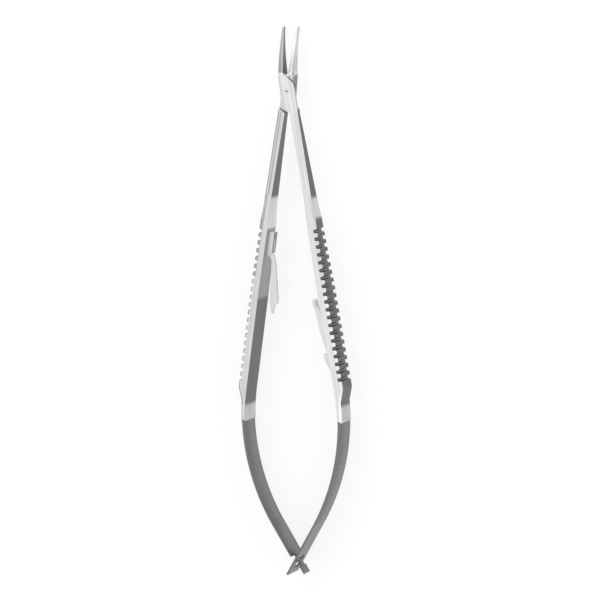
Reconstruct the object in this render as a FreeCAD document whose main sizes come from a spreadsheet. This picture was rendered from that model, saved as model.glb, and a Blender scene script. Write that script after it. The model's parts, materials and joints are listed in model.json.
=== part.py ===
import FreeCAD, Part
import math
import os
import Sketcher

# A spring-handled micro needle holder, lying on its side with its jaws apart.
# The jaws point along +Y, the right handle is at +X and the table is at z = 0.
# Each arm is drawn as it stands with the jaws shut, about the pivot as its own
# origin, and is then turned open by half of the opening angle.

SIZES = {
    # Opening of each arm from shut, in degrees
    "open_half_angle": "5.95",
    # Lap joint, with the outline of each half plate about the pivot
    "joint_thickness": "2.6",
    "lap_gap": "0.03",
    "lap_side": "1.8",
    "lap_outer_back": "2.1",
    "lap_outer_front": "1.85",
    "lap_front_corner": "2.0",
    "lap_front_tip": "4.2",
    "lap_back_corner": "4.3",
    "lap_back_tip": "5.5",
    "lap_tip_inset": "0.1",
    "shoulder_clearance": "0.22",
    # Pivot screw, countersunk from the back and flush at the front
    "pivot_radius": "0.8",
    "pivot_clearance": "0.03",
    "pivot_head_radius": "1.3",
    "pivot_head_depth": "0.5",
    "pivot_slot_width": "0.3",
    "pivot_slot_depth": "0.25",
    "pivot_dimple_radius": "0.22",
    "pivot_dimple_depth": "0.12",
    # Curved jaws and their hard gripping faces
    "pivot_to_tip": "16.4",
    "jaw_gap": "0.03",
    "jaw_root_thickness": "2.2",
    "jaw_tip_thickness": "0.62",
    "jaw_root_width": "2.4",
    "jaw_tip_width": "0.68",
    "jaw_width_power": "1.2",
    "jaw_lean": "3.7",
    "jaw_curve_radius": "28.2",
    "face_root_thickness": "0.45",
    "face_tip_thickness": "0.1",
    # Shanks and grips, with distances along the arm from the pivot
    "shank_slope": "3.8",
    "shank_root_thickness": "2.0",
    "shank_thickness": "1.9",
    "inner_step": "0.28",
    "ramp_start": "29.5",
    "ramp_end": "33.0",
    "grip_slope": "3.0",
    "grip_thickness": "2.35",
    "grip_width": "8.0",
    "taper_end": "51.6",
    "back_ramp_start": "77.0",
    "back_ramp_turn": "3.5",
    "bend_start": "77.8",
    "bend_radius": "44.8",
    "bend_turn": "10.0",
    "end_thickness": "1.15",
    "edge_chamfer": "0.5",
    # Cross grooves of the grips
    "groove_first": "3.2",
    "groove_pitch": "2.02",
    "groove_count": "20",
    "groove_mouth": "0.64",
    "groove_lip": "0.17",
    "groove_wall": "0.65",
    "groove_neck": "0.46",
    "groove_nose": "0.55",
    # Leaf springs and the tongue and window where they cross
    "spring_width": "7.9",
    "spring_root_thickness": "0.7",
    "spring_tail_thickness": "0.5",
    "spring_radius": "55.0",
    "tail_angle": "30.5",
    "tail_overrun": "4.0",
    "root_inset": "0.5",
    "root_clearance": "0.05",
    "window_width": "3.2",
    "window_before": "1.4",
    "window_after": "2.2",
    "neck_width": "2.4",
    "neck_before": "1.5",
    "head_width": "4.0",
    "head_after": "1.7",
    # Lock between the handles, along and proud of the inner faces
    "block_width": "2.6",
    "plate_thickness": "0.7",
    "tooth_height": "0.4",
    "tooth_width": "0.6",
    "tooth_margin": "0.45",
    "tooth_length": "1.6",
    "hook_gap": "0.2",
    "rivet_radius": "0.3",
    "rivet_depth": "1.4",
    "catch_level": "0.55",
    "catch_front": "3.3",
    "catch_back": "9.6",
    "catch_proud": "1.5",
    "catch_chamfer": "0.9",
    "catch_slot_depth": "0.5",
    "catch_root": "5.0",
    "catch_pin_radius": "0.25",
    "catch_waist": "10.6",
    "catch_waist_reach": "2.4",
    "catch_waist_width": "1.0",
    "catch_tip": "24.3",
    "catch_tip_reach": "3.5",
    "catch_tip_width": "0.4",
    "catch_bill": "21.6",
    "catch_bill_reach": "4.35",
    "catch_bill_width": "2.05",
    "catch_heel_out": "0.25",
    "catch_heel_back": "0.3",
    "catch_rivet_front": "1.1",
    "catch_rivet_back": "1.6",
    "latch_level": "-1.05",
    "latch_front": "34.7",
    "latch_flat": "36.5",
    "latch_back": "42.3",
    "latch_proud": "2.4",
    "latch_back_proud": "0.4",
    "latch_root": "38.6",
    "latch_root_width": "0.9",
    "latch_clearance": "0.1",
    "latch_pin_radius": "0.2",
    "latch_pin_clearance": "0.03",
    "latch_pin_place": "37.0",
    "latch_nose": "20.6",
    "latch_nose_reach": "3.55",
    "latch_throat": "23.6",
    "latch_throat_reach": "3.05",
    "latch_belly": "29.0",
    "latch_belly_reach": "2.84",
    "latch_belly_width": "1.4",
    "latch_nose_width": "1.35",
    "latch_nose_cut": "0.25",
    "latch_nose_length": "1.1",
    "latch_neck_drop": "0.45",
    "latch_neck_lead": "0.5",
    "latch_rivet_front": "0.9",
    "latch_rivet_back": "1.5",
    "latch_rivet_proud": "0.4",
}

# Shares of the jaw's length at which its section is drawn
JAW_STATIONS = (0.0, 0.2, 0.4, 0.6, 0.8, 1.0)

# Share of a face's direction that counts it among the sides, or the front and back
SIDEWAYS = 0.7

# Lengths worked out from the sizes above. Arm lengths run back from the pivot,
# and "spring" values are taken with the instrument open, as it lies.
DERIVED = {
    "half_joint": "Sizes.joint_thickness / 2",
    "half_gap": "Sizes.lap_gap / 2",
    "jaw_root": "Sizes.lap_front_tip + Sizes.shoulder_clearance",
    "jaw_length": "Sizes.pivot_to_tip - Derived.jaw_root",
    "slant_rise": "(Sizes.lap_back_tip - Sizes.lap_back_corner)"
                  " / (Sizes.lap_side + Sizes.lap_tip_inset)",
    "shoulder_corner": "Sizes.lap_back_corner + Sizes.shoulder_clearance",
    "shank_root": "Derived.shoulder_corner"
                  " + Derived.slant_rise * (Sizes.lap_side - Sizes.lap_tip_inset)",
    "ramp_x": "Sizes.lap_tip_inset"
              " + tan(Sizes.shank_slope) * (Sizes.ramp_start - Derived.shank_root)",
    "grip_x": "Sizes.lap_tip_inset - Sizes.inner_step"
              " + tan(Sizes.shank_slope) * (Sizes.ramp_end - Derived.shank_root)",
    "grip_outer_x": "Derived.grip_x + Sizes.grip_thickness",
    "back_ramp_x": "Derived.grip_outer_x"
                   " + tan(Sizes.grip_slope) * (Sizes.back_ramp_start - Sizes.ramp_end)",
    "bend_x": "Derived.grip_x"
              " + tan(Sizes.grip_slope) * (Sizes.bend_start - Sizes.ramp_end)",
    "bend_centre_x": "Derived.bend_x - Sizes.bend_radius * cos(Sizes.grip_slope)",
    "bend_centre_y": "-Sizes.bend_start - Sizes.bend_radius * sin(Sizes.grip_slope)",
    "bend_outer": "Sizes.bend_radius + Sizes.end_thickness",
    "ramp_angle": "Sizes.grip_slope - Sizes.back_ramp_turn",
    "end_angle": "Sizes.grip_slope - Sizes.bend_turn",
    "root_x": "Derived.bend_centre_x"
              " + (Sizes.bend_radius + Sizes.root_inset) * cos(Derived.end_angle)",
    "root_y": "Derived.bend_centre_y"
              " + (Sizes.bend_radius + Sizes.root_inset) * sin(Derived.end_angle)",
    "spring_x": "Derived.root_x * cos(Sizes.open_half_angle)"
                " - Derived.root_y * sin(Sizes.open_half_angle)",
    "spring_y": "Derived.root_x * sin(Sizes.open_half_angle)"
                " + Derived.root_y * cos(Sizes.open_half_angle)",
    "spring_lean": "-Derived.end_angle - Sizes.open_half_angle",
    "spring_turn": "Sizes.tail_angle - Derived.spring_lean",
    "arc_end_x": "-Sizes.spring_radius * (1 - cos(Derived.spring_turn))",
    "arc_end_y": "-Sizes.spring_radius * sin(Derived.spring_turn)",
    "crossing": "(Derived.spring_x - Sizes.spring_radius"
                " * (cos(Derived.spring_lean) - cos(Sizes.tail_angle)))"
                " / sin(Sizes.tail_angle)",
    "tail_reach": "-Derived.spring_y + Sizes.spring_radius"
                  " * (sin(Sizes.tail_angle) - sin(Derived.spring_lean))"
                  " + (Derived.crossing + Sizes.tail_overrun) * cos(Sizes.tail_angle)"
                  " + Sizes.spring_tail_thickness / 2 * sin(Sizes.tail_angle)",
    "tip_reach": "Sizes.pivot_to_tip * cos(Sizes.open_half_angle)"
                 " - Sizes.jaw_gap * sin(Sizes.open_half_angle)",
    "pivot_y": "(Derived.tail_reach - Derived.tip_reach) / 2",
    "mid_z": "Sizes.grip_width / 2",
    "face_x": "Derived.grip_x * cos(Sizes.open_half_angle)"
              " + Sizes.ramp_end * sin(Sizes.open_half_angle)",
    "face_y": "Derived.grip_x * sin(Sizes.open_half_angle)"
              " - Sizes.ramp_end * cos(Sizes.open_half_angle)",
    "face_angle": "Sizes.open_half_angle + Sizes.grip_slope",
    "catch_rivet_z": "Sizes.catch_level - Sizes.block_width / 3",
    "latch_rivet_z": "Sizes.latch_level + Sizes.block_width / 3",
    "tooth_inner": "Sizes.catch_bill_reach - Sizes.tooth_margin - Sizes.tooth_width",
    "lock_gap": "2 * (Derived.grip_x + tan(Sizes.grip_slope) * Sizes.catch_bill)",
}

# Rivets by their distance along the inner face and how far they stand out of it
CATCH_RIVETS = (
    ("Sizes.catch_front + Sizes.catch_rivet_front", "Sizes.catch_proud"),
    ("Sizes.catch_back - Sizes.catch_rivet_back", "Sizes.catch_proud"),
)
LATCH_RIVETS = (
    ("Sizes.latch_front + Sizes.latch_rivet_front", "Sizes.latch_proud"),
    ("Sizes.latch_back - Sizes.latch_rivet_back",
     "Sizes.latch_back_proud + Sizes.latch_rivet_proud"),
)

SUB_PARTS = (
    "left_arm", "right_arm", "pivot_screw", "left_jaw_face", "right_jaw_face",
    "left_spring", "right_spring", "catch_block", "catch_plate", "catch_pin",
    "catch_rivets", "latch_block", "latch_plate", "latch_pin", "latch_rivets",
)

DOC = FreeCAD.newDocument("micro_needle_holder")
SHEET = DOC.addObject("Spreadsheet::Sheet", "Sizes")
VALUES = DOC.addObject("App::VarSet", "Derived")
PROBE = DOC.addObject("App::VarSet", "Probe")


def write_sizes():
    """Put each driving size in the sheet and each worked-out length beside it."""
    for row, (name, number) in enumerate(SIZES.items(), 1):
        SHEET.set("A%d" % row, name)
        SHEET.set("B%d" % row, number)
        SHEET.setAlias("B%d" % row, name)
    for name in DERIVED:
        VALUES.addProperty("App::PropertyFloat", name)
    for name, formula in DERIVED.items():
        VALUES.setExpression(name, formula)
    PROBE.addProperty("App::PropertyFloat", "number")
    DOC.recompute()


def value(formula):
    """Give the present number of a formula."""
    PROBE.setExpression("number", str(formula))
    PROBE.recompute()
    return PROBE.number


def new_body(name):
    """Start a sub-part of its own."""
    body = DOC.addObject("PartDesign::Body", name)
    body.Label = name
    return body


def place(body, x, y, angle):
    """Set a sub-part at a point given from the pivot, turned about the vertical."""
    body.Placement.Rotation = FreeCAD.Rotation(FreeCAD.Vector(0, 0, 1), 1)
    body.setExpression("Placement.Base.x", x)
    body.setExpression("Placement.Base.y", "Derived.pivot_y + (%s)" % y)
    body.setExpression("Placement.Base.z", "Derived.mid_z")
    body.setExpression("Placement.Rotation.Angle", angle)


def new_sketch(body, name, role, shift=("0", "0", "0"), axis=(0, 0, 1), turn=None):
    """Lay a sketch on one of the body's own planes, shifted and turned if asked."""
    sketch = body.newObject("Sketcher::SketchObject", name)
    plane = [item for item in body.Origin.OriginFeatures if item.Role == role][0]
    sketch.AttachmentSupport = [(plane, "")]
    sketch.MapMode = "FlatFace"
    for letter, formula in zip("xyz", shift):
        sketch.setExpression("AttachmentOffset.Base." + letter, formula)
    if turn is not None:
        offset = sketch.AttachmentOffset
        offset.Rotation = FreeCAD.Rotation(FreeCAD.Vector(*axis), 1)
        sketch.AttachmentOffset = offset
        sketch.setExpression("AttachmentOffset.Rotation.Angle", turn)
    return sketch


def bind(sketch, name, constraint, formula):
    """Add a dimension to a sketch and tie it to its formula."""
    index = sketch.addConstraint(constraint)
    sketch.renameConstraint(index, name)
    sketch.setExpression("Constraints." + name, formula)


def bow(start, end, radius, bulge):
    """Make an arc that bulges to the right of its travel, or to the left if
    negative. Either way it is stored anticlockwise, as sketches keep their arcs."""
    chord = end - start
    right = FreeCAD.Vector(chord.y, -chord.x, 0).normalize() * bulge
    drop = math.sqrt(radius ** 2 - (chord.Length / 2) ** 2)
    top = (start + end) * 0.5 + right * (radius - drop)
    return Part.Arc(start, top, end) if bulge > 0 else Part.Arc(end, top, start)


def outline(sketch, corners):
    """Draw a closed outline. A corner is (x, y), or (x, y, radius, bulge) where
    an arc leads on from it, and each value is a formula."""
    points = [FreeCAD.Vector(value(corner[0]), value(corner[1]), 0) for corner in corners]
    following = points[1:] + points[:1]
    for corner, start, end in zip(corners, points, following):
        if len(corner) == 2:
            sketch.addGeometry(Part.LineSegment(start, end), False)
        else:
            sketch.addGeometry(bow(start, end, value(corner[2]), corner[3]), False)
    starts = []
    for index, point in enumerate(points):
        forward = sketch.Geometry[index].StartPoint.isEqual(point, 1e-6)
        starts.append(1 if forward else 2)
    for index, corner in enumerate(corners):
        nearer = (index + 1) % len(corners)
        far_end = 3 - starts[index]
        sketch.addConstraint(
            Sketcher.Constraint("Coincident", index, far_end, nearer, starts[nearer]))
        across = Sketcher.Constraint("DistanceX", -1, 1, index, starts[index], points[index].x)
        along = Sketcher.Constraint("DistanceY", -1, 1, index, starts[index], points[index].y)
        bind(sketch, "across%d" % index, across, corner[0])
        bind(sketch, "along%d" % index, along, corner[1])
        if len(corner) == 4:
            radius = Sketcher.Constraint("Radius", index, value(corner[2]))
            bind(sketch, "radius%d" % index, radius, corner[2])


def disc(sketch, x, y, radius):
    """Draw a circle, which may be one of several in its sketch."""
    centre = FreeCAD.Vector(value(x), value(y), 0)
    index = sketch.addGeometry(Part.Circle(centre, FreeCAD.Vector(0, 0, 1), value(radius)), False)
    across = Sketcher.Constraint("DistanceX", -1, 1, index, 3, centre.x)
    along = Sketcher.Constraint("DistanceY", -1, 1, index, 3, centre.y)
    bind(sketch, "across%d" % index, across, x)
    bind(sketch, "along%d" % index, along, y)
    bind(sketch, "radius%d" % index, Sketcher.Constraint("Radius", index, value(radius)), radius)


def extrude(body, kind, name, sketch, length, midplane=True, back=False):
    """Pad or pocket a sketch, to both sides of its plane or to one."""
    feature = body.newObject("PartDesign::" + kind, name)
    feature.Profile = sketch
    feature.Midplane = midplane
    feature.Reversed = back
    feature.setExpression("Length", length)
    return feature


def spin(body, kind, name, sketch):
    """Revolve or groove a sketch right round its upright axis."""
    feature = body.newObject("PartDesign::" + kind, name)
    feature.Profile = sketch
    feature.ReferenceAxis = (sketch, ["V_Axis"])
    feature.Angle = 360
    return feature


def jaw_section(body, name, side, share, round_back):
    """Draw one section of a jaw: D shaped behind its gripping face, or the
    face's own rectangle in front of it."""
    length = "(%s * Derived.jaw_length)" % share
    taper = "pow(%s; Sizes.jaw_width_power)" % (1 - share)
    half = ("((Sizes.jaw_tip_width + (Sizes.jaw_root_width - Sizes.jaw_tip_width) * %s) / 2)"
            % taper)
    middle = ("(-tan(Sizes.jaw_lean) * %s - %s^2 / (2 * Sizes.jaw_curve_radius))"
              % (length, length))
    mixed = "(Sizes.{0}_root_thickness * {1} + Sizes.{0}_tip_thickness * {2})"
    seat = "%d * (Sizes.jaw_gap + %s)" % (-side, mixed.format("face", 1 - share, share))
    back = "%d * (Sizes.jaw_gap + %s)" % (-side, mixed.format("jaw", 1 - share, share))
    flank = "%s + %d * %s" % (back, side, half)
    top = "%s + %s" % (middle, half)
    bottom = "%s - %s" % (middle, half)
    sketch = new_sketch(body, name, "XZ_Plane", ("0", "0", "-(Derived.jaw_root + %s)" % length))
    if round_back:
        outline(sketch, [(seat, bottom), (seat, top), (flank, top, half, -side),
                         (back, middle, half, -side), (flank, bottom)])
    else:
        front = "%d * Sizes.jaw_gap" % -side
        outline(sketch, [(front, bottom), (front, top), (seat, top), (seat, bottom)])
    return sketch


def loft_jaw(body, side, round_back):
    """Loft the jaw's sections from its root to its tip."""
    sections = [jaw_section(body, "JawSection%d" % number, side, share, round_back)
                for number, share in enumerate(JAW_STATIONS)]
    DOC.recompute()
    loft = body.newObject("PartDesign::AdditiveLoft", "Jaw")
    loft.Profile = sections[0]
    loft.Sections = sections[1:]
    return loft


def handle_outline(side):
    """Give the arm's outline behind the joint, down its inner face and back up."""
    def point(x, y):
        return ("%d * (%s)" % (side, x), y)

    def on_bend(radius, angle):
        return point("Derived.bend_centre_x + %s * cos(%s)" % (radius, angle),
                     "Derived.bend_centre_y + %s * sin(%s)" % (radius, angle))

    return [
        point("Sizes.lap_tip_inset", "-Derived.shank_root"),
        point("Derived.ramp_x", "-Sizes.ramp_start"),
        point("Derived.grip_x", "-Sizes.ramp_end"),
        point("Derived.bend_x", "-Sizes.bend_start") + ("Sizes.bend_radius", -side),
        on_bend("Sizes.bend_radius", "Derived.end_angle"),
        on_bend("Derived.bend_outer", "Derived.end_angle") + ("Derived.bend_outer", side),
        on_bend("Derived.bend_outer", "Derived.ramp_angle"),
        point("Derived.back_ramp_x", "-Sizes.back_ramp_start"),
        point("Derived.grip_outer_x", "-Sizes.ramp_end"),
        point("Derived.ramp_x + Sizes.shank_thickness", "-Sizes.ramp_start"),
        point("Sizes.lap_tip_inset + Sizes.shank_root_thickness", "-Derived.shank_root"),
        point("Sizes.lap_side", "-Derived.shoulder_corner"),
    ]


def taper_shank(body):
    """Narrow the arm from the full width of the grip to the joint's thickness."""
    for level, name in ((1, "NearTaper"), (-1, "FarTaper")):
        sketch = new_sketch(body, name + "Sketch", "YZ_Plane")
        waist = "%d * Derived.half_joint" % level
        outline(sketch, [
            ("-Sizes.taper_end", "%d * Derived.mid_z" % level),
            ("-Derived.shank_root", waist),
            ("0", waist),
            ("0", "%d * Sizes.grip_width" % level),
            ("-Sizes.taper_end", "%d * Sizes.grip_width" % level),
        ])
        extrude(body, "Pocket", name, sketch, "4 * Derived.back_ramp_x")


def break_edges(body, side):
    """Break the long edges where the arm's outer side meets its front and back."""
    DOC.recompute()
    solid = body.Tip
    shape = solid.Shape

    def facing(face):
        low_u, high_u, low_v, high_v = face.ParameterRange
        return face.normalAt((low_u + high_u) / 2, (low_v + high_v) / 2)

    names = []
    for number, edge in enumerate(shape.Edges, 1):
        faces = [facing(face) for face in shape.ancestorsOfType(edge, Part.Face)]
        outward = max(way.x * side for way in faces)
        upward = max(abs(way.z) for way in faces)
        behind_joint = edge.CenterOfMass.y < -value("Derived.shank_root")
        if outward > SIDEWAYS and upward > SIDEWAYS and behind_joint:
            names.append("Edge%d" % number)
    chamfer = body.newObject("PartDesign::Chamfer", "OuterEdges")
    chamfer.Base = (solid, names)
    chamfer.setExpression("Size", "Sizes.edge_chamfer")


def cut_grooves(body, side):
    """Cut the round-bottomed cross grooves in the outer face of the grip."""
    sketch = new_sketch(body, "GrooveSketch", "XY_Plane",
                        ("%d * Derived.grip_outer_x" % side, "-Sizes.ramp_end", "0"),
                        (0, 0, 1), "%d * Sizes.grip_slope" % side)

    def point(depth, rise):
        return ("%d * %s" % (-side, depth), "-Sizes.groove_first + " + rise)

    outline(sketch, [
        point("-Sizes.groove_lip", "(Sizes.groove_mouth + Sizes.groove_lip)"),
        point("Sizes.groove_lip", "(Sizes.groove_mouth - Sizes.groove_lip)"),
        point("Sizes.groove_wall", "Sizes.groove_neck") + ("Sizes.groove_nose", side),
        point("Sizes.groove_wall", "-Sizes.groove_neck"),
        point("Sizes.groove_lip", "-(Sizes.groove_mouth - Sizes.groove_lip)"),
        point("-Sizes.groove_lip", "-(Sizes.groove_mouth + Sizes.groove_lip)"),
    ])
    pocket = extrude(body, "Pocket", "Groove", sketch, "2 * Sizes.grip_width")
    row = body.newObject("PartDesign::LinearPattern", "GrooveRow")
    row.Originals = [pocket]
    row.Direction = (sketch, ["V_Axis"])
    row.Reversed = True
    row.setExpression("Length", "(Sizes.groove_count - 1) * Sizes.groove_pitch")
    row.setExpression("Occurrences", "Sizes.groove_count")
    body.Tip = row


def lap_outline(side):
    """Give the half plate of the lap joint, from the shank across to its own jaw."""
    def point(x, y):
        return ("%d * (%s)" % (side, x), y)

    return [
        point("-Sizes.lap_side", "Derived.jaw_root"),
        point("-Sizes.lap_side", "-Sizes.lap_back_corner"),
        point("Sizes.lap_tip_inset", "-Sizes.lap_back_tip"),
        point("Sizes.lap_tip_inset", "-Derived.shank_root"),
        point("Sizes.lap_outer_back", "-Derived.shank_root"),
        point("Sizes.lap_outer_front", "Sizes.lap_front_corner"),
        point("-Sizes.jaw_gap", "Sizes.lap_front_tip"),
        point("-Sizes.jaw_gap", "Derived.jaw_root"),
    ]


def shoulder_outline(side):
    """Give the full-thickness shoulder that the jaw stands on."""
    return [
        ("%d * -Sizes.jaw_gap" % side, "Derived.jaw_root"),
        ("%d * -Sizes.lap_side" % side, "Derived.jaw_root"),
        ("%d * -Sizes.lap_side" % side,
         "Sizes.lap_front_corner + Sizes.shoulder_clearance * 1.5"),
    ]


def bore_for_pivot(body, side):
    """Bore the plate: a close seat at the front, a running fit and sink at the back."""
    sketch = new_sketch(body, "PivotBoreSketch", "XZ_Plane")
    if side > 0:
        outline(sketch, [("0", "0"), ("Sizes.pivot_radius", "0"),
                         ("Sizes.pivot_radius", "Sizes.joint_thickness"),
                         ("0", "Sizes.joint_thickness")])
    else:
        neck = "Sizes.pivot_radius + Sizes.pivot_clearance"
        rim = "Sizes.pivot_head_radius + Sizes.pivot_clearance"
        outline(sketch, [("0", "0"), (neck, "0"),
                         (neck, "Sizes.pivot_head_depth - Derived.half_joint"),
                         (rim, "-Derived.half_joint"),
                         (rim, "-Sizes.joint_thickness"),
                         ("0", "-Sizes.joint_thickness")])
    spin(body, "Groove", "PivotBore", sketch)


def bore_for_rivets(body, side, places, level):
    """Bore the rivet holes square to the arm's inner face."""
    sketch = new_sketch(body, "RivetBoreSketch", "YZ_Plane",
                        ("-Sizes.ramp_end", "0", "%d * Derived.grip_x" % side),
                        (0, 1, 0), "%d * Sizes.grip_slope" % side)
    for spot in places:
        disc(sketch, "-(%s)" % spot, level, "Sizes.rivet_radius")
    extrude(body, "Pocket", "RivetBore", sketch, "2 * Sizes.rivet_depth")


def seat_for_spring(body, side):
    """Hollow the arm's end for the rounded root of its leaf spring."""
    sketch = new_sketch(body, "SpringSeatSketch", "XY_Plane")
    disc(sketch, "%d * Derived.root_x" % side, "Derived.root_y",
         "Sizes.spring_root_thickness / 2 + Sizes.root_clearance")
    extrude(body, "Pocket", "SpringSeat", sketch, "2 * Sizes.grip_width")


def make_arm(name, side, rivets, rivet_level):
    """One forging: grooved grip, tapered shank, half of the lap joint and a jaw.
    The right handle (side 1) crosses in front of the joint to the left jaw."""
    body = new_body(name)
    sketch = new_sketch(body, "HandleSketch", "XY_Plane")
    outline(sketch, handle_outline(side))
    extrude(body, "Pad", "Handle", sketch, "Sizes.grip_width")
    taper_shank(body)
    far_side = side < 0
    sketch = new_sketch(body, "LapSketch", "XY_Plane", ("0", "0", "%d * Derived.half_gap" % side))
    outline(sketch, lap_outline(side))
    extrude(body, "Pad", "LapPlate", sketch, "Derived.half_joint - Derived.half_gap",
            False, far_side)
    break_edges(body, side)
    cut_grooves(body, side)
    seat_for_spring(body, side)
    bore_for_rivets(body, side, rivets, rivet_level)
    sketch = new_sketch(body, "ShoulderSketch", "XY_Plane",
                        ("0", "0", "%d * Derived.half_joint" % side))
    outline(sketch, shoulder_outline(side))
    extrude(body, "Pad", "JawShoulder", sketch, "Derived.half_joint + Sizes.jaw_root_width / 2",
            False, not far_side)
    loft_jaw(body, side, True)
    bore_for_pivot(body, side)
    place(body, "0", "0", "%d * Sizes.open_half_angle" % side)


def make_jaw_face(name, side):
    """The hard plate brazed to the gripping side of a jaw."""
    body = new_body(name)
    loft_jaw(body, side, False)
    place(body, "0", "0", "%d * Sizes.open_half_angle" % side)


def make_pivot_screw():
    """A countersunk screw, polished flush with the front plate that it is fast in."""
    body = new_body("pivot_screw")
    sketch = new_sketch(body, "ScrewSketch", "XZ_Plane")
    floor = "Derived.half_joint - Sizes.pivot_dimple_depth"
    outline(sketch, [
        ("0", "-Derived.half_joint"),
        ("Sizes.pivot_head_radius", "-Derived.half_joint"),
        ("Sizes.pivot_radius", "Sizes.pivot_head_depth - Derived.half_joint"),
        ("Sizes.pivot_radius", "Derived.half_joint"),
        ("Sizes.pivot_dimple_radius", "Derived.half_joint"),
        ("0", floor),
    ])
    spin(body, "Revolution", "Screw", sketch)
    sketch = new_sketch(body, "SlotSketch", "XY_Plane", ("0", "0", "-Derived.half_joint"))
    outline(sketch, [
        ("-Sizes.joint_thickness", "-Sizes.pivot_slot_width / 2"),
        ("Sizes.joint_thickness", "-Sizes.pivot_slot_width / 2"),
        ("Sizes.joint_thickness", "Sizes.pivot_slot_width / 2"),
        ("-Sizes.joint_thickness", "Sizes.pivot_slot_width / 2"),
    ])
    extrude(body, "Pocket", "DriverSlot", sketch, "2 * Sizes.pivot_slot_depth")
    place(body, "0", "0", "Sizes.open_half_angle")


def leaf_point(side, distance, offset):
    """Give a point of the leaf's straight tail, past the end of its arc."""
    x = ("Derived.arc_end_x - (%s) * sin(Derived.spring_turn) + (%s) * cos(Derived.spring_turn)"
         % (distance, offset))
    y = ("Derived.arc_end_y - (%s) * cos(Derived.spring_turn) - (%s) * sin(Derived.spring_turn)"
         % (distance, offset))
    return ("%d * (%s)" % (side, x), y)


def leaf_stretch(side, start, end, depth):
    """Give the outline of a stretch of the leaf's tail, as deep as asked."""
    return [leaf_point(side, start, "-" + depth), leaf_point(side, end, "-" + depth),
            leaf_point(side, end, depth), leaf_point(side, start, depth)]


def make_spring(name, side):
    """A leaf spring with a rounded root. The right one ends in a window, and the
    left one in a tongue that passes through it."""
    body = new_body(name)
    root = "Sizes.spring_root_thickness / 2"
    tail = "Sizes.spring_tail_thickness / 2"
    if side > 0:
        full_length = "Derived.crossing + Sizes.tail_overrun"
    else:
        full_length = "Derived.crossing - Sizes.neck_before"
    sketch = new_sketch(body, "LeafSketch", "XY_Plane")
    outline(sketch, [
        ("%d * -%s" % (side, root), "0", "Sizes.spring_radius - " + root, -side),
        leaf_point(side, "0", "-" + tail),
        leaf_point(side, full_length, "-" + tail),
        leaf_point(side, full_length, tail),
        leaf_point(side, "0", tail) + ("Sizes.spring_radius + " + root, side),
        ("%d * %s" % (side, root), "0", root, side),
        ("0", root, root, side),
    ])
    extrude(body, "Pad", "Leaf", sketch, "Sizes.spring_width")
    if side > 0:
        sketch = new_sketch(body, "WindowSketch", "XY_Plane")
        outline(sketch, leaf_stretch(side, "Derived.crossing - Sizes.window_before",
                                     "Derived.crossing + Sizes.window_after",
                                     "Sizes.spring_root_thickness"))
        extrude(body, "Pocket", "Window", sketch, "Sizes.window_width")
    else:
        end = "Derived.crossing + Sizes.tail_overrun"
        sketch = new_sketch(body, "NeckSketch", "XY_Plane")
        outline(sketch, leaf_stretch(side, full_length, end, tail))
        extrude(body, "Pad", "Neck", sketch, "Sizes.neck_width")
        sketch = new_sketch(body, "HeadSketch", "XY_Plane")
        outline(sketch, leaf_stretch(side, "Derived.crossing + Sizes.head_after", end, tail))
        extrude(body, "Pad", "TongueHead", sketch, "Sizes.head_width")
    place(body, "%d * Derived.spring_x" % side, "Derived.spring_y",
          "%d * Derived.spring_lean" % -side)


def place_on_face(body, side):
    """Set a piece of the lock in the frame of the arm's inner face."""
    place(body, "%d * Derived.face_x" % side, "Derived.face_y", "%d * Derived.face_angle" % side)


def face_points(side, pairs):
    """Turn pairs of proudness and distance along the inner face into corners."""
    return [("%d * (%s)" % (-side, proud), "-(%s)" % along) for proud, along in pairs]


def make_block(name, side, profile, slot, rivets, rivet_level, level, play):
    """A block riveted to the inner face, slotted for its lock plate."""
    body = new_body(name)
    sketch = new_sketch(body, "BlockSketch", "XY_Plane", ("0", "0", level))
    outline(sketch, face_points(side, profile))
    extrude(body, "Pad", "Block", sketch, "Sizes.block_width")
    sketch = new_sketch(body, "SlotSketch", "XY_Plane", ("0", "0", level))
    outline(sketch, face_points(side, slot))
    extrude(body, "Pocket", "PlateSlot", sketch, "Sizes.plate_thickness + 2 * (%s)" % play)
    sketch = new_sketch(body, "RivetBoreSketch", "YZ_Plane")
    for spot in rivets:
        disc(sketch, "-(%s)" % spot, rivet_level, "Sizes.rivet_radius")
    extrude(body, "Pocket", "RivetBore", sketch, "4 * Sizes.latch_proud")
    place_on_face(body, side)


def make_plate(name, side, corners, tooth, level, tooth_up):
    """A thin lock plate lying in the plane of opening, with a tooth near its end."""
    body = new_body(name)
    sketch = new_sketch(body, "PlateSketch", "XY_Plane", ("0", "0", level))
    outline(sketch, face_points(side, corners))
    extrude(body, "Pad", "Plate", sketch, "Sizes.plate_thickness")
    sketch = new_sketch(body, "ToothSketch", "XY_Plane", ("0", "0", level))
    outline(sketch, face_points(side, tooth))
    extrude(body, "Pad", "Tooth", sketch, "Sizes.plate_thickness / 2 + Sizes.tooth_height",
            False, not tooth_up)
    place_on_face(body, side)


def bore_down(name, side, pin, level):
    """Bore a piece of the catch from top to bottom for its pin."""
    body = DOC.getObject(name)
    sketch = new_sketch(body, "PinBoreSketch", "XY_Plane", ("0", "0", level))
    disc(sketch, "%d * (%s)" % (-side, pin[0]), "-(%s)" % pin[1], pin[2])
    extrude(body, "Pocket", "PinBore", sketch, "2 * Sizes.block_width")


def make_catch_pin(side, pin, level):
    """The pin that fastens the catch's bill in its block."""
    body = new_body("catch_pin")
    sketch = new_sketch(body, "PinSketch", "XY_Plane", ("0", "0", level))
    disc(sketch, "%d * (%s)" % (-side, pin[0]), "-(%s)" % pin[1], pin[2])
    extrude(body, "Pad", "Pin", sketch, "Sizes.block_width")
    place_on_face(body, side)


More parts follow.
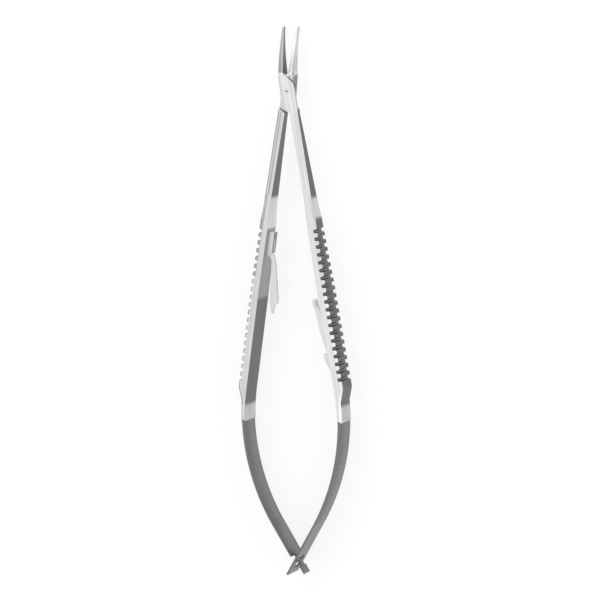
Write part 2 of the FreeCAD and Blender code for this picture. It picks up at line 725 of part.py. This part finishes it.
def bore_across(name, radius):
    """Bore a piece of the latch square to the arm's inner face."""
    body = DOC.getObject(name)
    sketch = new_sketch(body, "PinBoreSketch", "YZ_Plane")
    disc(sketch, "-Sizes.latch_pin_place", "Sizes.latch_level", radius)
    extrude(body, "Pocket", "PinBore", sketch, "4 * Sizes.latch_proud")


def make_latch_pin():
    """The stud square to the inner face, on which the latch's plate rocks."""
    body = new_body("latch_pin")
    sketch = new_sketch(body, "PinSketch", "YZ_Plane")
    disc(sketch, "-Sizes.latch_pin_place", "Sizes.latch_level", "Sizes.latch_pin_radius")
    extrude(body, "Pad", "Pin", sketch, "Sizes.catch_slot_depth + Sizes.latch_root_width",
            False, True)
    place_on_face(body, 1)


def make_rivets(name, side, rivets, rivet_level):
    """The flush rivets that hold a block to its arm, each its own solid."""
    pins = []
    for number, (spot, proud) in enumerate(rivets, 1):
        pin = DOC.addObject("Part::Cylinder", "%s_pin%d" % (name, number))
        pin.setExpression("Radius", "Sizes.rivet_radius")
        pin.setExpression("Height", "Sizes.rivet_depth + (%s)" % proud)
        pin.Placement.Rotation = FreeCAD.Rotation(FreeCAD.Vector(0, 1, 0), -90 * side)
        pin.setExpression("Placement.Base.x", "%d * Sizes.rivet_depth" % side)
        pin.setExpression("Placement.Base.y", "-(%s)" % spot)
        pin.setExpression("Placement.Base.z", rivet_level)
        pins.append(pin)
    group = DOC.addObject("Part::Compound", name)
    group.Label = name
    group.Links = pins
    place_on_face(group, side)


def make_catch():
    """The left handle's catch: a block and a bill that hangs from it."""
    side = -1
    level = "Sizes.catch_level"
    pin = ("(Sizes.catch_slot_depth + Sizes.catch_proud) / 2",
           "(Sizes.catch_root + Sizes.catch_back - Sizes.catch_chamfer) / 2",
           "Sizes.catch_pin_radius")
    rivets = CATCH_RIVETS
    profile = [("0", "Sizes.catch_front"), ("Sizes.catch_proud", "Sizes.catch_front"),
               ("Sizes.catch_proud", "Sizes.catch_back - Sizes.catch_chamfer"),
               ("Sizes.catch_slot_depth", "Sizes.catch_back"), ("0", "Sizes.catch_back")]
    slot = [("Sizes.catch_slot_depth", "Sizes.catch_root"),
            ("2 * Sizes.catch_proud", "Sizes.catch_root"),
            ("2 * Sizes.catch_proud", "2 * Sizes.catch_back"),
            ("Sizes.catch_slot_depth", "2 * Sizes.catch_back")]
    make_block("catch_block", side, profile, slot, [spot for spot, proud in rivets],
               "Derived.catch_rivet_z", level, "0")
    bill_front = "Sizes.catch_bill - Sizes.tooth_length"
    corners = [
        ("Sizes.catch_slot_depth", "Sizes.catch_root"),
        ("Sizes.catch_slot_depth", "Sizes.catch_back"),
        ("Sizes.catch_waist_reach - Sizes.catch_waist_width", "Sizes.catch_waist"),
        ("Sizes.catch_bill_reach - Sizes.catch_bill_width", "Sizes.catch_bill"),
        ("Sizes.catch_tip_reach - Sizes.catch_tip_width", "Sizes.catch_tip"),
        ("Sizes.catch_tip_reach", "Sizes.catch_tip"),
        ("Sizes.catch_tip_reach + Sizes.catch_heel_out", "Sizes.catch_bill + Sizes.catch_heel_back"),
        ("Sizes.catch_bill_reach", "Sizes.catch_bill"),
        ("Sizes.catch_bill_reach", bill_front),
        ("Sizes.catch_waist_reach", "Sizes.catch_waist"),
        ("Sizes.catch_proud", "Sizes.catch_back - Sizes.catch_chamfer"),
        ("Sizes.catch_proud", "Sizes.catch_root"),
    ]
    inner = "Derived.tooth_inner"
    outer = inner + " + Sizes.tooth_width"
    tooth = [(inner, bill_front), (inner, "Sizes.catch_bill"),
             (outer, "Sizes.catch_bill"), (outer, bill_front)]
    make_plate("catch_plate", side, corners, tooth, level, False)
    for name in ("catch_block", "catch_plate"):
        bore_down(name, side, pin, level)
    make_catch_pin(side, pin, level)
    make_rivets("catch_rivets", side, rivets, "Derived.catch_rivet_z")


def make_latch():
    """The right handle's latch: a block and a long springy plate with a nose."""
    side = 1
    level = "Sizes.latch_level"
    root_inner = "(Sizes.catch_slot_depth)"
    root_outer = "(Sizes.catch_slot_depth + Sizes.latch_root_width)"
    profile = [("0", "Sizes.latch_front"), ("Sizes.latch_proud", "Sizes.latch_front"),
               ("Sizes.latch_proud", "Sizes.latch_flat"),
               ("Sizes.latch_back_proud", "Sizes.latch_back"), ("0", "Sizes.latch_back")]
    slot_floor = root_inner + " - Sizes.latch_clearance"
    slot_end = "Sizes.latch_root + Sizes.latch_clearance"
    slot = [(slot_floor, slot_end), ("2 * Sizes.latch_proud", slot_end),
            ("2 * Sizes.latch_proud", "Sizes.latch_front / 2"),
            (slot_floor, "Sizes.latch_front / 2")]
    make_block("latch_block", side, profile, slot, [spot for spot, proud in LATCH_RIVETS],
               "Derived.latch_rivet_z", level, "Sizes.latch_clearance")
    nose_inner = "Sizes.latch_nose_reach - Sizes.latch_nose_width"
    corners = [
        (root_inner, "Sizes.latch_root"),
        (root_inner, "Sizes.latch_front"),
        ("Sizes.latch_belly_reach - Sizes.latch_belly_width", "Sizes.latch_belly"),
        (nose_inner, "Sizes.latch_nose"),
        ("Sizes.latch_nose_reach - Sizes.latch_nose_cut", "Sizes.latch_nose"),
        ("Sizes.latch_nose_reach", "Sizes.latch_nose + Sizes.latch_nose_length"),
        ("Sizes.latch_throat_reach", "Sizes.latch_throat"),
        ("Sizes.latch_belly_reach", "Sizes.latch_belly"),
        ("Sizes.latch_proud - Sizes.latch_neck_drop", "Sizes.latch_front - Sizes.latch_neck_lead"),
        (root_outer, "Sizes.latch_front"),
        (root_outer, "Sizes.latch_root"),
    ]
    inner = "Derived.lock_gap - Derived.tooth_inner + Sizes.hook_gap"
    outer = inner + " + Sizes.tooth_width"
    front = "Sizes.latch_nose + Sizes.tooth_margin"
    back = front + " + Sizes.tooth_length"
    tooth = [(inner, front), (inner, back), (outer, back), (outer, front)]
    make_plate("latch_plate", side, corners, tooth, level, True)
    bore_across("latch_plate", "Sizes.latch_pin_radius + Sizes.latch_pin_clearance")
    bore_across("latch_block", "Sizes.latch_pin_radius")
    make_latch_pin()
    make_rivets("latch_rivets", side, LATCH_RIVETS, "Derived.latch_rivet_z")


def main():
    write_sizes()
    make_arm("left_arm", -1, [spot for spot, proud in CATCH_RIVETS], "Derived.catch_rivet_z")
    make_arm("right_arm", 1, [spot for spot, proud in LATCH_RIVETS], "Derived.latch_rivet_z")
    make_jaw_face("left_jaw_face", 1)
    make_jaw_face("right_jaw_face", -1)
    make_pivot_screw()
    make_spring("left_spring", -1)
    make_spring("right_spring", 1)
    make_catch()
    make_latch()
    DOC.recompute()
    for item in DOC.Objects:
        if "Invalid" in item.State or "Error" in item.State:
            raise RuntimeError("%s failed: %s" % (item.Label, item.State))
    os.makedirs("parts", exist_ok=True)
    shapes = {}
    for name in SUB_PARTS:
        shape = DOC.getObjectsByLabel(name)[0].Shape
        if shape.isNull() or not shape.isValid() or not shape.Solids:
            raise RuntimeError("%s has no sound solid" % name)
        shapes[name] = shape
    for name, shape in shapes.items():
        shape.exportStep("parts/%s.step" % name)
        box = shape.BoundBox
        print("%-16s solids %d  volume %8.2f  x %7.2f %7.2f  y %7.2f %7.2f  z %5.2f %5.2f" % (
            name, len(shape.Solids), shape.Volume, box.XMin, box.XMax, box.YMin, box.YMax,
            box.ZMin, box.ZMax))
    print("pivot y %.3f  spring root %.3f %.3f" % (
        value("Derived.pivot_y"), value("Derived.spring_x"), value("Derived.spring_y")))


main()
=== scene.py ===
import json
import math

import bmesh
import bpy
from mathutils import Matrix, Vector


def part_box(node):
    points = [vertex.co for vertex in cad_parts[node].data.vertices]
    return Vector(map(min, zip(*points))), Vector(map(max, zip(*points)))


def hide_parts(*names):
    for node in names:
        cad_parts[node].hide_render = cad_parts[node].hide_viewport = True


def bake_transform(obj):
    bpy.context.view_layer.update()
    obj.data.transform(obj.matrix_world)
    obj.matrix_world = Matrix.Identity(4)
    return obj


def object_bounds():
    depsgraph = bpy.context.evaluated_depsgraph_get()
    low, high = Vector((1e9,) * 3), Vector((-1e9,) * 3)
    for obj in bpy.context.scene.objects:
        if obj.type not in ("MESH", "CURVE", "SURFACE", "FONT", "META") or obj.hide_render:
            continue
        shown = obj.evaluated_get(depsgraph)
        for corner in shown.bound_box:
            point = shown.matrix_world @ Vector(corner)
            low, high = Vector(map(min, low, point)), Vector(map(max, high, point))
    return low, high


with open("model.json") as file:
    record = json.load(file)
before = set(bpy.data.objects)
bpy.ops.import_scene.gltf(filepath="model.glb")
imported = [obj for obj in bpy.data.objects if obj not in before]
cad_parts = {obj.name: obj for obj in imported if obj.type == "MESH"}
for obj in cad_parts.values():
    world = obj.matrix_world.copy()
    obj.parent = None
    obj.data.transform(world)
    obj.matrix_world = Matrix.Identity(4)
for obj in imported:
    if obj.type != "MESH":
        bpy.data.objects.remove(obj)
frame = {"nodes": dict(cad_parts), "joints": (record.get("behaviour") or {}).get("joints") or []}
cad_low, cad_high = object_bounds()
nodes = frame["nodes"]
joints = {joint["name"]: joint for joint in frame["joints"]}

MM = 0.001

# The picture's width at the instrument, and where the camera stands and aims
FRAME_WIDTH = 153.8 * MM
LENS = 250.0
SENSOR = 36.0
CAMERA_SIDE = math.radians(20.0)
CAMERA_FORWARD = math.radians(6.0)
CAMERA_ROLL = math.radians(1.33)
AIM_SIDE = 1.85 * MM
AIM_ALONG = 0.5 * MM

# The joint, where the jaws begin ahead of it, and how the handles lean from it
PIVOT = Vector(joints["arm_pivot"]["pos_m"])
JAW_ROOT = 4.4 * MM
HANDLE_ANGLE = math.radians(9.3)

# Bands of other grades along the handles' inner and outer sides, from and to in mm behind the
# pivot, with their grade: the one from 27.2 mm is painted light on the sloping ramp, the inner
# one from 35.4 mm is a painted reflection of the catch plate, and the one from 80.6 mm is a
# lighter collar
INNER_BANDS = ((-6.0, 4.6, 0.42), (27.2, 35.4, 0.68), (35.4, 53.1, 0.30), (80.6, 92.0, 0.50))
OUTER_BANDS = ((-6.0, 4.6, 0.42), (27.2, 32.3, 0.68), (80.6, 92.0, 0.50))
BAND_EDGE = 0.7

# Grey lines painted along the flats as the shade of their bevelled edges, in mm: from and to
# across the arm, from and to along it, and how much they darken the metal
BEVEL_SHADE_LINES = ((-2.4, -1.15, -4.4, 6.0, 0.50), (0.55, 1.05, 5.0, 27.0, 0.35),
                (0.9, 3.5, 26.0, 48.0, 0.32))
LINE_EDGE = 0.12
LINE_END = 1.0

# Casts of the finishes, off neutral grey, and the steel's grain, streaks and clouds:
# their scales across, along and through the metal, and how far they vary it
SATIN_CAST = 0.012
POLISHED_CAST = 0.006
GRAIN_SCALE = (900.0, 60.0, 900.0)
ARM_GRAIN_SCALE = (2500.0, 60.0, 900.0)
GRAIN = 0.16
GRAIN_ROUGHNESS = 0.14
GRAIN_DEPTH = 0.01 * MM
STREAK_SCALE = (1500.0, 25.0, 300.0)
STREAKS = 0.56
CLOUD_SCALE = 90.0
CLOUDS = 0.16

# How far a face is turned where it begins to count as an end or an outer side and where it fully
# does, and the turn over which a flat's painted light runs out
END_TURN = (0.6, 0.9)
OUTER_TURN = (0.3, 0.7)
FLAT_BLEND = 0.2

# Roughness of the handles, of the jaws and of their hard faces, the length over which the first
# two meet, and the faces' tooth and how far ahead they turn lighter towards the tip
HANDLE_ROUGHNESS = 0.32
JAW_ROUGHNESS = 0.52
FACE_ROUGHNESS = 0.42
JAW_BLEND = 0.5 * MM
TOOTH_ANGLE = 45.0
TOOTH_SCALE = 900.0
TOOTH_DEPTH = 0.02 * MM
TIP_TONE_UNTIL = 3.5 * JAW_ROOT

# Widths of the broken edges, and the angles from which edges are broken or stay sharp
ARM_EDGE = 0.12 * MM
SPRING_EDGE = 0.1 * MM
BLOCK_EDGE = 0.08 * MM
PLATE_EDGE = 0.05 * MM
BROKEN_FROM = math.radians(38.0)
SHARP_FROM = math.radians(30.0)

# The leaf springs: how many steps they are cut into, how near points are welded, what counts as
# flat, and where the steps end, as a share of the root's distance from the middle and ahead of
# the tail
LEAF_STEPS = 24
WELD = 0.001 * MM
FLAT_WITHIN = math.radians(1.0)
BEND_END_SHARE = 0.3
BEND_END_AHEAD = 12.0 * MM

# The white table, how much plain white is mixed into what the camera sees of it,
# the surround, and the lamps' names, places, sizes and powers
TABLE_HALF = 1.5
TABLE_DROP = 0.05 * MM
TABLE_TONE = (0.97, 0.97, 0.97, 1.0)
TABLE_ROUGHNESS = 0.7
WHITE_SHARE = 0.8
WHITE_LEVEL = 1.04
SURROUND = 0.80
LAMPS = (("key", (-0.25, 0.45, 0.50), 0.45, 0.9), ("fill", (0.50, -0.10, 0.40), 0.45, 0.35))


class Nodes:
    """A small builder for one material's node tree."""

    def __init__(self, name):
        self.material = bpy.data.materials.new(name)
        self.material.use_nodes = True
        self.tree = self.material.node_tree
        self.tree.nodes.clear()
        self.shader = self.add("ShaderNodeBsdfPrincipled")
        output = self.add("ShaderNodeOutputMaterial")
        self.link(self.shader.outputs["BSDF"], output.inputs["Surface"])

    def add(self, kind, **settings):
        node = self.tree.nodes.new(kind)
        for key, setting in settings.items():
            setattr(node, key, setting)
        return node

    def link(self, source, target):
        self.tree.links.new(source, target)

    def feed(self, source, target):
        """Link a socket, or set a plain value."""
        if isinstance(source, bpy.types.NodeSocket):
            self.link(source, target)
        else:
            target.default_value = source

    def maths(self, operation, first, second=0.0):
        node = self.add("ShaderNodeMath", operation=operation)
        self.feed(first, node.inputs[0])
        self.feed(second, node.inputs[1])
        return node.outputs[0]

    def mix(self, factor, first, second):
        node = self.add("ShaderNodeMix", data_type="RGBA")
        self.feed(factor, node.inputs["Factor"])
        self.feed(first, node.inputs[6])
        self.feed(second, node.inputs[7])
        return node.outputs[2]

    def step(self, source, low, high):
        """A smooth step from 0 to 1 between two values."""
        node = self.add("ShaderNodeMapRange", interpolation_type="SMOOTHSTEP")
        self.feed(source, node.inputs["Value"])
        node.inputs["From Min"].default_value = low
        node.inputs["From Max"].default_value = high
        return node.outputs["Result"]

    def noise(self, vector, scale, detail, roughness=0.5):
        node = self.add("ShaderNodeTexNoise")
        self.link(vector, node.inputs["Vector"])
        node.inputs["Scale"].default_value = scale
        node.inputs["Detail"].default_value = detail
        node.inputs["Roughness"].default_value = roughness
        return node.outputs["Fac"]

    def place(self):
        return self.add("ShaderNodeTexCoord").outputs["Object"]

    def split(self, vector):
        node = self.add("ShaderNodeSeparateXYZ")
        self.link(vector, node.inputs[0])
        return node.outputs

    def shaded(self, colour, factor):
        """Darken or lighten a colour by a factor."""
        node = self.add("ShaderNodeMix", data_type="RGBA", blend_type="MULTIPLY")
        node.inputs["Factor"].default_value = 1.0
        self.feed(colour, node.inputs[6])
        self.feed(factor, node.inputs[7])
        return node.outputs[2]

    def stretched(self, vector, factors):
        node = self.add("ShaderNodeMapping")
        self.link(vector, node.inputs["Vector"])
        node.inputs["Scale"].default_value = factors
        return node.outputs["Vector"]

    def banded(self, level, distance, bands):
        """Lay bands of other grades over a grey, along a distance, with soft ends."""
        laid = grey(level, SATIN_CAST)
        for first, last, grade in bands:
            entered = self.step(distance, (first - BAND_EDGE) * MM, (first + BAND_EDGE) * MM)
            left = self.step(distance, (last - BAND_EDGE) * MM, (last + BAND_EDGE) * MM)
            laid = self.mix(self.maths("SUBTRACT", entered, left), laid, grey(grade, SATIN_CAST))
        return laid

    def varied(self, pattern, depth):
        """A factor about 1 that follows a pattern, over a depth in all."""
        return self.maths("ADD", self.maths("MULTIPLY", pattern, depth), 1.0 - depth / 2)

    def finish(self, base, place, grain_place, roughness, depth):
        """Give the metal its fine grain and its soft clouding."""
        grain = self.noise(grain_place, 1.0, detail=4.0, roughness=0.6)
        cloud = self.noise(place, CLOUD_SCALE, detail=2.0)
        varied = self.maths("MULTIPLY", self.varied(grain, depth), self.varied(cloud, CLOUDS))
        self.link(self.shaded(base, varied), self.shader.inputs["Base Color"])
        self.shader.inputs["Metallic"].default_value = 1.0
        rough = self.maths("ADD", self.maths("MULTIPLY", grain, GRAIN_ROUGHNESS),
                           self.maths("SUBTRACT", roughness, GRAIN_ROUGHNESS / 2))
        self.link(rough, self.shader.inputs["Roughness"])
        self.bump(grain, GRAIN_DEPTH, strength=0.5)

    def bump(self, height, distance, strength):
        node = self.add("ShaderNodeBump")
        node.inputs["Strength"].default_value = strength
        node.inputs["Distance"].default_value = distance
        self.link(height, node.inputs["Height"])
        self.link(node.outputs["Normal"], self.shader.inputs["Normal"])


def grey(level, warm=0.0):
    """A linear grey with a slight warm or cool cast."""
    return (level * (1 + warm), level, level * (1 - warm), 1.0)


def steel(name, flat, side, end, roughness, grain=GRAIN, flat_from=0.75):
    """Ground stainless steel. Faces that look up or down are painted pale as lit, faces that
    look sideways are painted darker as shade, and ends have a grade of their own."""
    made = Nodes(name)
    coordinates = made.add("ShaderNodeTexCoord")
    place = coordinates.outputs["Object"]
    facing = made.split(coordinates.outputs["Normal"])
    upright = made.maths("ABSOLUTE", facing["Z"])
    # Painted light and shade by facing: flats pale as lit, sideways faces darker as shade
    lit_flats = made.step(upright, flat_from, (1.0 + flat_from) / 2)
    endways = made.step(made.maths("ABSOLUTE", facing["Y"]), *END_TURN)
    painted_sides = made.mix(endways, grey(side, SATIN_CAST), grey(end, SATIN_CAST))
    base = made.mix(lit_flats, painted_sides, grey(flat, POLISHED_CAST))
    made.finish(base, place, made.stretched(place, GRAIN_SCALE), roughness, grain)
    return made.material


def arm_steel(name, side, flat, flat_from, inner, outer, jaw, lines):
    """The forging's own steel, in the frame of its handle: sides painted dark as shade, flats
    painted pale as lit, bands over the sides with painted light on the ramp before the grip, a
    painted reflection of the catch plate and a lighter collar at its end, grey lines painted on
    the flats as the shade of their bevels, streaks along the ground flats, and a grade of its
    own on the jaw."""
    made = Nodes(name)
    coordinates = made.add("ShaderNodeTexCoord")
    place = coordinates.outputs["Object"]
    facing = made.split(coordinates.outputs["Normal"])
    behind = made.maths("SUBTRACT", PIVOT.y, made.split(place)["Y"])
    turned = made.add("ShaderNodeVectorRotate", rotation_type="Z_AXIS")
    turned.inputs["Center"].default_value = PIVOT
    turned.inputs["Angle"].default_value = -side * HANDLE_ANGLE
    made.link(place, turned.inputs["Vector"])
    along_arm = turned.outputs["Vector"]
    # Sides painted dark as shade; their bands add painted light on the ramp and a painted
    # reflection of the catch plate
    away = made.maths("MULTIPLY", facing["X"], side)
    painted_sides = made.mix(made.step(away, *OUTER_TURN), made.banded(inner, behind, INNER_BANDS),
                     made.banded(outer, behind, OUTER_BANDS))
    # Flats painted pale as lit, from a turn that differs between the arms
    lit_flats = made.step(made.maths("ABSOLUTE", facing["Z"]), flat_from, flat_from + FLAT_BLEND)
    base = made.mix(lit_flats, painted_sides, grey(flat, POLISHED_CAST))
    across = made.maths("MULTIPLY", made.split(along_arm)["X"], side)
    # Painted shade of the bevels, laid as grey lines along the flats
    for near, far, first, last, depth in BEVEL_SHADE_LINES:
        line = made.maths("MULTIPLY", made.step(across, near * MM, (near + LINE_EDGE) * MM),
                          made.step(across, far * MM, (far - LINE_EDGE) * MM))
        reach = made.maths("MULTIPLY", made.step(behind, first * MM, (first + LINE_END) * MM),
                           made.step(behind, last * MM, (last - LINE_END) * MM))
        line = made.maths("MULTIPLY", line, made.maths("MULTIPLY", reach, depth * lines))
        base = made.shaded(base, made.maths("SUBTRACT", 1.0, line))
    # The jaw's own grade, painted paler as lit on the left arm's jaw and darker on the right
    # arm's
    handle = made.step(behind, -JAW_ROOT - JAW_BLEND, -JAW_ROOT)
    base = made.mix(handle, grey(jaw, SATIN_CAST), base)
    streaks = made.noise(made.stretched(along_arm, STREAK_SCALE), 1.0, detail=2.0, roughness=0.6)
    base = made.shaded(base, made.varied(streaks, STREAKS))
    smoother = made.maths("MULTIPLY", handle, JAW_ROUGHNESS - HANDLE_ROUGHNESS)
    rough = made.maths("SUBTRACT", JAW_ROUGHNESS, smoother)
    made.finish(base, place, made.stretched(along_arm, ARM_GRAIN_SCALE), rough, GRAIN)
    return made.material


def hard_face(name, low, high, tip):
    """Grey hard metal with a fine crossed tooth that grips the needle, lighter towards the jaw's
    tip."""
    made = Nodes(name)
    place = made.place()
    ahead = made.maths("SUBTRACT", made.split(place)["Y"], PIVOT.y)
    toward_tip = made.step(ahead, JAW_ROOT, TIP_TONE_UNTIL)
    heights = []
    for angle in (TOOTH_ANGLE, -TOOTH_ANGLE):
        turned = made.add("ShaderNodeMapping")
        made.link(place, turned.inputs["Vector"])
        turned.inputs["Rotation"].default_value = (math.radians(angle), 0.0, 0.0)
        wave = made.add("ShaderNodeTexWave", wave_type="BANDS", bands_direction="Z")
        wave.inputs["Scale"].default_value = TOOTH_SCALE
        made.link(turned.outputs["Vector"], wave.inputs["Vector"])
        heights.append(wave.outputs["Fac"])
    tooth = made.maths("MULTIPLY", heights[0], heights[1])
    toothed = made.mix(tooth, grey(low), grey(high))
    made.link(made.mix(toward_tip, toothed, grey(tip)), made.shader.inputs["Base Color"])
    made.shader.inputs["Metallic"].default_value = 1.0
    made.shader.inputs["Roughness"].default_value = FACE_ROUGHNESS
    made.bump(tooth, TOOTH_DEPTH, strength=0.6)
    return made.material


def dress(names, material, bevel=0.0):
    """Give CAD nodes their finish and softly broken edges."""
    for name in names:
        piece = nodes[name]
        piece.data.materials.clear()
        piece.data.materials.append(material)
        soften(piece, bevel)


def soften(piece, width):
    """Round a piece's edges a little and keep its flats flat."""
    piece.data.shade_smooth()
    if width > 0:
        edge = piece.modifiers.new("edges", "BEVEL")
        edge.width = width
        edge.segments = 2
        edge.limit_method = "ANGLE"
        edge.angle_limit = BROKEN_FROM
        edge.use_clamp_overlap = True
        edge.harden_normals = True
    else:
        piece.data.set_sharp_from_angle(angle=SHARP_FROM)


def camera():
    """Stand above the instrument, on its right and a little towards the jaws."""
    distance = FRAME_WIDTH * LENS / SENSOR
    back = Vector((math.sin(CAMERA_SIDE), math.sin(CAMERA_FORWARD),
                   math.cos(CAMERA_SIDE) * math.cos(CAMERA_FORWARD))).normalized()
    along = Vector((0.0, 1.0, 0.0))
    right = along.cross(back).normalized()
    up = back.cross(right).normalized()
    turn = Matrix((right, up, back)).transposed().to_4x4()
    roll = Matrix.Rotation(-CAMERA_ROLL, 4, "Z")
    aim = Vector((AIM_SIDE, AIM_ALONG, (cad_low.z + cad_high.z) / 2))
    data = bpy.data.cameras.new("camera")
    data.lens = LENS
    data.sensor_width = SENSOR
    data.clip_start = 0.01
    seen = bpy.data.objects.new("camera", data)
    seen.matrix_world = Matrix.Translation(aim + back * distance) @ turn @ roll
    bpy.context.scene.collection.objects.link(seen)
    bpy.context.scene.camera = seen


def lamp(name, place, size, power):
    """A soft round lamp that shines on the middle of the instrument."""
    data = bpy.data.lights.new(name, "AREA")
    data.shape = "DISK"
    data.size = size
    data.energy = power
    light = bpy.data.objects.new(name, data)
    light.location = place
    light.rotation_mode = "QUATERNION"
    light.rotation_quaternion = (-Vector(place)).to_track_quat("-Z", "Y")
    bpy.context.scene.collection.objects.link(light)


def white_seen_by_camera(tree, surface, share, strength):
    """Mix plain white into what the camera and mirror-like and clear surfaces
    see of the table, so that its ground is white and its shadows stay faint."""
    path = tree.nodes.new("ShaderNodeLightPath")
    ways = [path.outputs["Is Camera Ray"], path.outputs["Is Glossy Ray"],
            path.outputs["Is Transmission Ray"]]
    total = ways[0]
    for way in ways[1:]:
        either = tree.nodes.new("ShaderNodeMath")
        either.operation = "MAXIMUM"
        tree.links.new(total, either.inputs[0])
        tree.links.new(way, either.inputs[1])
        total = either.outputs[0]
    lessened = tree.nodes.new("ShaderNodeMath")
    lessened.operation = "MULTIPLY"
    lessened.inputs[1].default_value = share
    tree.links.new(total, lessened.inputs[0])
    glow = tree.nodes.new("ShaderNodeEmission")
    glow.inputs["Strength"].default_value = strength
    mixer = tree.nodes.new("ShaderNodeMixShader")
    tree.links.new(lessened.outputs[0], mixer.inputs[0])
    tree.links.new(surface, mixer.inputs[1])
    tree.links.new(glow.outputs[0], mixer.inputs[2])
    return mixer.outputs[0]


def studio():
    """A plain white table, a white surround and two soft lamps."""
    world = bpy.data.worlds.new("surround")
    bpy.context.scene.world = world
    world.use_nodes = True
    back = world.node_tree.nodes["Background"]
    back.inputs["Color"].default_value = (1.0, 1.0, 1.0, 1.0)
    back.inputs["Strength"].default_value = SURROUND
    for name, place, size, power in LAMPS:
        lamp(name, place, size, power)
    corners = [(-TABLE_HALF, -TABLE_HALF, 0), (TABLE_HALF, -TABLE_HALF, 0),
               (TABLE_HALF, TABLE_HALF, 0), (-TABLE_HALF, TABLE_HALF, 0)]
    mesh = bpy.data.meshes.new("table")
    mesh.from_pydata(corners, [], [(0, 1, 2, 3)])
    table = bpy.data.objects.new("table", mesh)
    table.location.z = -TABLE_DROP
    bpy.context.scene.collection.objects.link(table)
    material = bpy.data.materials.new("white_table")
    material.use_nodes = True
    shader = material.node_tree.nodes["Principled BSDF"]
    shader.inputs["Base Color"].default_value = TABLE_TONE
    shader.inputs["Roughness"].default_value = TABLE_ROUGHNESS
    tree = material.node_tree
    shown = white_seen_by_camera(tree, shader.outputs[0], WHITE_SHARE, WHITE_LEVEL)
    tree.links.new(shown, tree.nodes["Material Output"].inputs["Surface"])
    table.data.materials.append(material)


def sliced(spring, root, tail):
    """Copy a leaf spring's form and cut it across into short steps between the arm and its own
    tail."""
    name = spring + "_leaf"
    mesh = nodes[spring].data.copy()
    mesh.name = name
    shaped = bmesh.new()
    shaped.from_mesh(mesh)
    bmesh.ops.remove_doubles(shaped, verts=shaped.verts, dist=WELD)
    bmesh.ops.dissolve_limit(shaped, angle_limit=FLAT_WITHIN, verts=shaped.verts,
                             edges=shaped.edges)
    for step in range(1, LEAF_STEPS):
        point = root.lerp(tail, step / LEAF_STEPS)
        everything = shaped.verts[:] + shaped.edges[:] + shaped.faces[:]
        bmesh.ops.bisect_plane(shaped, geom=everything, plane_co=point,
                               plane_no=(tail - root).normalized())
    shaped.to_mesh(mesh)
    shaped.free()
    piece = bpy.data.objects.new(name, mesh)
    bpy.context.scene.collection.objects.link(piece)
    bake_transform(piece)
    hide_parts(spring)
    return piece


def springs(material):
    """Both leaf springs, cut into steps from the arms' ends to where they cross."""
    for arm in ("left_arm", "right_arm"):
        spring = arm.replace("arm", "spring")
        root = Vector(joints[spring + "_flex"]["pos_m"])
        tail_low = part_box(spring)[0]
        tail = Vector((root.x * BEND_END_SHARE, tail_low.y + BEND_END_AHEAD, root.z))
        leaf = sliced(spring, root, tail)
        leaf.data.materials.clear()
        leaf.data.materials.append(material)
        soften(leaf, SPRING_EDGE)


camera()
studio()
# The blocks' sides are painted dark as shade and their rounded ends pale as a painted highlight
BLOCK = steel("block_steel", flat=0.84, side=0.20, end=0.80, roughness=0.32)
SATIN = steel("satin_steel", flat=0.80, side=0.24, end=0.24, roughness=0.32)
POLISHED = steel("polished_steel", flat=0.89, side=0.45, end=0.60, roughness=0.24)
SPRING = steel("spring_steel", flat=0.24, side=0.17, end=0.20, roughness=0.36, grain=0.3)
# The two arms are one steel painted as lit and shaded copies: their flats, chamfer turn, sides,
# jaws and grey lines differ for how each catches the light, the left arm's jaw painted pale as
# lit
LEFT_STEEL = arm_steel("left_arm_steel", -1, flat=0.80, flat_from=0.62, inner=0.10,
                       outer=0.10, jaw=0.68, lines=1.0)
RIGHT_STEEL = arm_steel("right_arm_steel", 1, flat=0.91, flat_from=0.45, inner=0.12,
                        outer=0.09, jaw=0.44, lines=0.3)
# The screw's dimple and rim, every face turned from straight up, are painted near black as the
# shade in its hollow
SCREW = steel("screw_steel", flat=0.86, side=0.05, end=0.05, roughness=0.32, flat_from=0.93)
DARK_FACE = hard_face("hard_face", low=0.08, high=0.16, tip=0.25)
# The right jaw's face is the same hard metal as the left's, painted pale as a lit copy
LIT_HARD_FACE = hard_face("lit_copy_hard_face", low=0.40, high=0.55, tip=0.60)
dress(["left_arm"], LEFT_STEEL, ARM_EDGE)
dress(["right_arm"], RIGHT_STEEL, ARM_EDGE)
dress(["catch_block", "latch_block"], BLOCK, BLOCK_EDGE)
dress(["catch_plate", "latch_plate"], POLISHED, PLATE_EDGE)
dress(["pivot_screw"], SCREW)
dress(["catch_pin", "latch_pin"], POLISHED)
dress(["catch_rivets", "latch_rivets"], SATIN)
dress(["left_jaw_face"], DARK_FACE)
dress(["right_jaw_face"], LIT_HARD_FACE)
springs(SPRING)

scene = bpy.context.scene
scene.view_settings.view_transform = "Standard"
